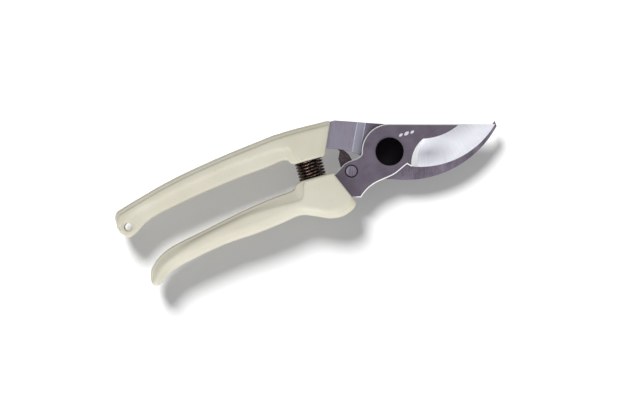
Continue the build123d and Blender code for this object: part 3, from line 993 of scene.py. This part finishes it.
@dataclass
class LeafMark(Piece):
    """Row of plain leaves etched on the blade."""

    place: tuple[float, float] = (10.8, 6.5)
    length: float = 9.0
    width: float = 3.2
    lift: float = 0.012
    turn: float = -1.0
    lean: float = 24.0
    leaf_sizes: tuple[float, ...] = (0.8, 1.0, 0.8)

    def outline(
        self, shape: bmesh.types.BMesh, centre: float, length: float, width: float, lean: float
    ) -> None:
        """One pointed leaf, flat, with its stem end at the left.

        Args:
            shape: Mesh to add it to.
            centre: Place of its middle along the mark.
            length: Tip to stem.
            width: Greatest width.
            lean: Turn in degrees.
        """
        ring = bmesh.ops.create_circle(shape, segments=24, radius=1.0, cap_ends=True)["verts"]
        for vert in ring:
            taper = 1 - abs(vert.co.x) ** 2.2
            vert.co.y = math.copysign(0.5 * width * taper, vert.co.y) if abs(vert.co.y) > 1e-6 else 0.0
            vert.co.x *= length / 2
        bmesh.ops.rotate(shape, verts=ring, matrix=Matrix.Rotation(math.radians(lean), 3, "Z"))
        bmesh.ops.translate(shape, verts=ring, vec=(centre, 0, 0))

    def build(self) -> bpy.types.Object:
        """Builds three small leaves in a row and lays them on the blade's face.

        Returns:
            The mark.
        """
        shape = bmesh.new()
        pitch = self.length / len(self.leaf_sizes)
        for index, size in enumerate(self.leaf_sizes):
            self.outline(shape, (index - 1) * pitch, pitch * size, self.width * size / 2, self.lean)
        made = bmesh.ops.extrude_face_region(shape, geom=list(shape.faces))["geom"]
        top = [item for item in made if isinstance(item, bmesh.types.BMVert)]
        bmesh.ops.translate(shape, verts=top, vec=(0, 0, self.lift * 2))
        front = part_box("cutting_blade")[1].z / MM - DATUM.z
        turn = Matrix.Rotation(math.radians(self.turn), 3, "Z")
        bmesh.ops.rotate(shape, verts=shape.verts, matrix=turn)
        bmesh.ops.translate(shape, verts=shape.verts, vec=(*self.place, front - self.lift))
        return self.settle(self.show(shape))


@dataclass
class PivotSet:
    """Bolt, washer and nut of the pivot."""

    finishes: dict[str, PlainMetal] = field(default_factory=lambda: {
        "pivot_bolt": BLACK_STEEL, "pivot_washer": ZINC_STEEL, "pivot_nut": ZINC_STEEL,
    })

    def dress(self) -> None:
        """Gives the carried-over pieces their finishes."""
        for node, finish in self.finishes.items():
            dress(node, finish)


def dress(node: str, finish: Finish) -> None:
    """Gives a carried-over node a finish.

    Args:
        node: Name of the node.
        finish: Its new finish.
    """
    piece = frame["nodes"][node]
    piece.data.materials.clear()
    piece.data.materials.append(finish.material())
    log.info("%s: dressed in %s", node, finish.name)


@dataclass
class Studio:
    """Pale floor, soft light and the camera."""

    view_turn: float = VIEW_TURN
    view_centre: tuple[float, float] = (-46.4, -15.9)
    view_width: float = 315.0
    height: float = 1500.0
    floor_drop: float = 5.0
    sensor: float = 36.0
    lamp_distance: float = 1.2
    floor_size: float = 4.0
    floor_grey: float = 0.50
    floor_glow: float = 0.22
    sky: Colour = (0.96, 0.97, 1.0)
    sky_strength: float = 0.30

    def floor(self) -> bpy.types.Object:
        """Lays the floor under the shears.

        Returns:
            The floor.
        """
        shape = bmesh.new()
        bmesh.ops.create_grid(shape, x_segments=4, y_segments=4, size=self.floor_size)
        bmesh.ops.translate(shape, verts=shape.verts, vec=(0, 0, -self.floor_drop * MM))
        floor = placed("floor", shape)
        shader = Shader("pale_floor")
        shader.bsdf.inputs["Base Color"].default_value = (*(self.floor_grey,) * 3, 1)
        shader.bsdf.inputs["Emission Color"].default_value = (1, 1, 1, 1)
        shader.bsdf.inputs["Emission Strength"].default_value = self.floor_glow
        shader.bsdf.inputs["Roughness"].default_value = 0.9
        shader.bsdf.inputs["Specular IOR Level"].default_value = 0.1
        floor.data.materials.append(shader.material)
        return floor

    def aim(self, thing: bpy.types.Object, away: Vector, distance: float) -> None:
        """Puts a light off the middle of the view and points it back.

        Args:
            thing: Light to place.
            away: Direction from the middle to the light.
            distance: How far off, in metres.
        """
        middle = DATUM.point(*self.view_centre)
        thing.location = middle + away.normalized() * distance
        thing.rotation_mode = "QUATERNION"
        thing.rotation_quaternion = (-away).to_track_quat("-Z", "Y")

    def lamp(
        self, name: str, kind: str, away: tuple[float, float, float], energy: float, size: float
    ) -> bpy.types.Object:
        """Adds a light.

        Args:
            name: Name of the light.
            kind: "SUN" or "AREA".
            away: Direction to the light: right, up and towards the eye, as the camera sees it.
            energy: Its strength.
            size: Angle in degrees for a sun, side in metres for an area.

        Returns:
            The light.
        """
        data = bpy.data.lights.new(name, kind)
        data.energy = energy
        if kind == "SUN":
            data.angle = math.radians(size)
        else:
            data.size = size
        lamp = bpy.data.objects.new(name, data)
        lamp.visible_camera = False
        bpy.context.scene.collection.objects.link(lamp)
        turn = Matrix.Rotation(math.radians(-self.view_turn), 3, "Z")
        self.aim(lamp, turn @ Vector(away), self.lamp_distance)
        return lamp

    def only(self, lamp: bpy.types.Object, things: list[bpy.types.Object]) -> None:
        """Lets a light fall on some things only.

        Args:
            lamp: The light.
            things: What it falls on.
        """
        group = bpy.data.collections.new(lamp.name + "_lights")
        for thing in things:
            group.objects.link(thing)
        lamp.light_linking.receiver_collection = group

    def camera(self) -> None:
        """Hangs the camera straight over the shears."""
        data = bpy.data.cameras.new("camera")
        data.sensor_width = self.sensor
        data.lens = self.sensor * self.height / self.view_width
        data.clip_end = 20
        eye = bpy.data.objects.new("camera", data)
        bpy.context.scene.collection.objects.link(eye)
        eye.location = DATUM.point(*self.view_centre, self.height)
        eye.rotation_euler = (0, 0, math.radians(-self.view_turn))
        bpy.context.scene.camera = eye

    def build(self, pieces: list[bpy.types.Object]) -> None:
        """Sets up floor, world, lights and camera.

        Args:
            pieces: Everything that belongs to the shears.
        """
        floor = self.floor()
        world = bpy.data.worlds.new("studio")
        world.use_nodes = True
        background = world.node_tree.nodes["Background"]
        background.inputs["Color"].default_value = (*self.sky, 1)
        background.inputs["Strength"].default_value = self.sky_strength
        bpy.context.scene.world = world
        shade = self.lamp("shade_sun", "SUN", (-0.42, 0.82, 1.0), 7.0, 22)
        self.only(shade, [floor])
        self.only(self.lamp("key", "AREA", (-0.25, -0.90, 0.9), 8.4, 0.6), pieces)
        self.only(self.lamp("top", "AREA", (0.25, -0.1, 1.0), 4.3, 0.9), pieces)
        self.camera()


def main() -> None:
    """Builds the shears piece by piece, then the studio."""
    logging.basicConfig(level=logging.INFO, format="%(name)s: %(message)s")
    upper = UpperGrip(
        "upper_grip_moulding", HOOK_SIDE, "grip_plastic", PLASTIC, "upper_grip", seat_y=6.7,
        pocket_direction=1, back_radius=1.8, band_step=0.8, band_depth=1.3, lip=0.9,
        rows=[
            (-32.3, 6.7, -24.7, 23.2, 0.0, 1.7), (-34.2, 6.7, -26.9, 23.5, 0.0, 0.8),
            (-36.4, 6.7, -30.0, 23.6, 0.0, 0.15),
            (-40.0, 6.7, -36.5, 23.85, 0.0, 0.0), (-45.2, 6.7, -43.5, 24.0, 0.0, 0.0),
            (-48.4, 6.8, -47.0, 24.0, 6.6, 0.0), (-50.0, 7.9, -49.2, 23.95, 7.2, 0.0),
            (-51.4, 9.8, -51.0, 23.85, 5.3, 0.0), (-55.0, 10.1, -55.0, 23.8, 5.7, 0.0),
            (-62.0, 9.1, -63.0, 22.9, 6.3, 0.0), (-77.5, 7.9, -80.0, 21.0, 6.4, 0.15),
            (-98.5, 5.3, -101.5, 17.8, 6.1, 0.6), (-112.5, 3.0, -116.0, 14.9, 5.8, 1.1),
            (-121.5, 1.3, -126.5, 12.2, 5.7, 1.7), (-128.0, -0.9, -133.0, 10.5, 6.5, 2.1),
            (-133.0, -3.9, -137.4, 9.2, 7.6, 2.3), (-136.9, -5.9, -141.2, 8.0, 7.3, 2.5),
            (-139.8, -5.9, -143.1, 5.4, 6.0, 2.7), (-141.5, -3.9, -143.2, 1.8, 4.2, 2.9),
        ],
    )
    lower = Grip(
        "lower_grip_moulding", BLADE_SIDE, "grip_plastic", PLASTIC, "lower_grip", seat_y=-2.3,
        pocket_direction=-1, back_radius=5.2,
        rows=[
            (-30.7, -2.3, -23.1, -20.2, 0.0, 0.5), (-32.6, -2.3, -25.2, -22.9, 0.0, 0.12),
            (-37.0, -2.3, -31.5, -25.2, 0.0, 0.0), (-42.0, -2.3, -38.5, -24.4, 0.0, 0.0),
            (-45.6, -2.3, -43.4, -22.1, 0.0, 0.0), (-48.4, -2.5, -46.8, -20.7, 6.2, 0.0),
            (-50.2, -3.4, -49.4, -19.6, 7.4, 0.0), (-51.7, -5.3, -51.4, -19.1, 5.7, 0.0),
            (-55.0, -6.0, -54.8, -19.0, 5.1, 0.0), (-63.8, -6.7, -62.7, -20.3, 4.2, 0.0),
            (-77.9, -8.6, -75.8, -21.7, 2.9, 0.15), (-92.4, -11.3, -90.0, -22.4, 2.6, 0.4),
            (-105.8, -13.9, -103.5, -24.2, 2.6, 0.9), (-116.4, -15.9, -113.0, -26.0, 3.5, 1.4),
            (-123.3, -18.0, -118.5, -27.2, 4.0, 1.8), (-128.7, -21.1, -122.2, -28.4, 3.9, 2.1),
            (-132.6, -25.2, -125.6, -30.4, 3.4, 2.4), (-134.1, -29.4, -128.4, -32.3, 2.4, 2.8),
            (-133.9, -31.9, -130.6, -33.4, 0.9, 3.4),
        ],
    )
    spring = ReturnSpring("spring_coil", HOOK_SIDE, "spring_steel", SPRING_STEEL, "return_spring")
    mark = LeafMark("leaf_mark", BLADE_SIDE, "blade_steel", ETCHED)
    pieces = [upper.build(), lower.build(), spring.build(), mark.build()]
    dress("cutting_blade", BLADE_STEEL)
    dress("counter_blade", HOOK_STEEL)
    PivotSet().dress()
    dress("lock_lever", LEVER_STEEL)
    dress("lock_rivet", HOOK_STEEL)
    dress("lock_wave_washer", ZINC_STEEL)
    dress("catch_pin", ZINC_STEEL)
    bpy.context.scene.view_settings.view_transform = "Standard"
    Studio().build(pieces + list(frame["nodes"].values()))


if __name__ == "__main__":
    main()
